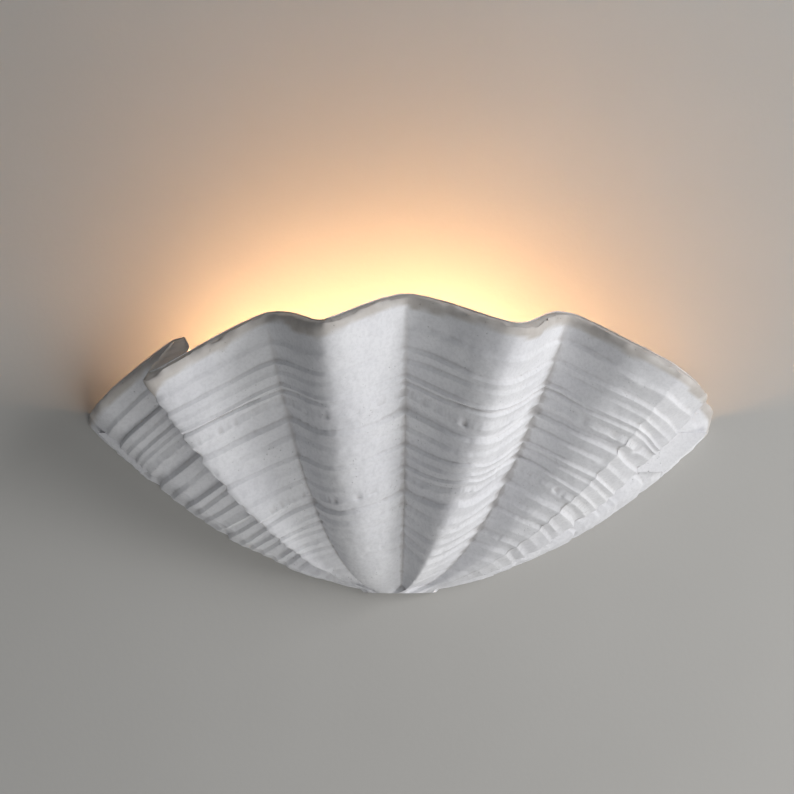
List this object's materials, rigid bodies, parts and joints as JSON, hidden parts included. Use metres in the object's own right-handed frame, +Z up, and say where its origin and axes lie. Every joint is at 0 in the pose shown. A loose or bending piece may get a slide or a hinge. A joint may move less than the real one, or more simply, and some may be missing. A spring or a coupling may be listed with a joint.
{
  "type": "shell wall sconce",
  "caption": "Cast plaster clam-shell uplighter that hangs on a steel wall plate, with a small screw-in lamp lying across its bowl.",
  "frame": {"origin": "centre of the wall plate's back face, on the wall", "axes": "+X to the viewer's right along the wall, +Y into the wall, +Z up; the room is at -Y"},
  "size_m": [0.4482, 0.1572, 0.2076],
  "materials": {
    "plaster": "matt",
    "zinc_steel": "satin",
    "white_paint": "semi matt",
    "rubber": "matt",
    "brass": "satin",
    "holder_plastic": "matt",
    "block_plastic": "satin",
    "bulb_plastic": "gloss",
    "bulb_glass": "frosted",
    "cap_metal": "satin",
    "black_glass": "gloss",
    "live_sleeve": "satin",
    "neutral_sleeve": "satin",
    "earth_sleeve": "satin"
  },
  "bodies": {
    "bracket": {"wall_plate": "white_paint", "cable_grommet": "rubber", "lamp_arm": "white_paint", "arm_rivets": "zinc_steel", "entry_nipple": "zinc_steel", "arm_washer": "zinc_steel", "lock_nut": "zinc_steel", "holder_base": "holder_plastic", "holder_sleeve": "holder_plastic", "holder_liner": "brass", "centre_contact": "brass", "side_contact": "brass", "terminal_block": "block_plastic", "terminal_inserts": "brass", "terminal_screws": "zinc_steel", "block_screw": "zinc_steel", "earth_tag": "zinc_steel", "earth_screw": "brass", "live_lead": "live_sleeve", "neutral_lead": "neutral_sleeve", "earth_lead": "earth_sleeve"},
    "shell": {"plaster_shell": "plaster", "left_hanger": "zinc_steel", "right_hanger": "zinc_steel"},
    "bulb_carrier": {"bulb_tip": "cap_metal"},
    "bulb": {"bulb_globe": "bulb_glass", "bulb_collar": "bulb_plastic", "bulb_cap": "cap_metal", "bulb_insulator": "black_glass"}
  },
  "joints": [
    {"name": "shell_lift", "type": "slide", "parent": "bracket", "child": "shell", "axis": [0, -0.766, 0.6428], "range_m": [0, 0.11]},
    {"name": "bulb_travel", "type": "slide", "parent": "bracket", "child": "bulb_carrier", "axis": [1, 0, 0], "range_m": [0, 0.0127]},
    {"name": "bulb_turn", "type": "hinge", "parent": "bulb_carrier", "child": "bulb", "pos_m": [0.012, -0.031, 0.001], "axis": [1, 0, 0], "range_deg": [0, 1620]}
  ],
  "couplings": [
    {"joint": "bulb_travel", "follows": "bulb_turn", "m_per_rad": 0.00044914}
  ]
}
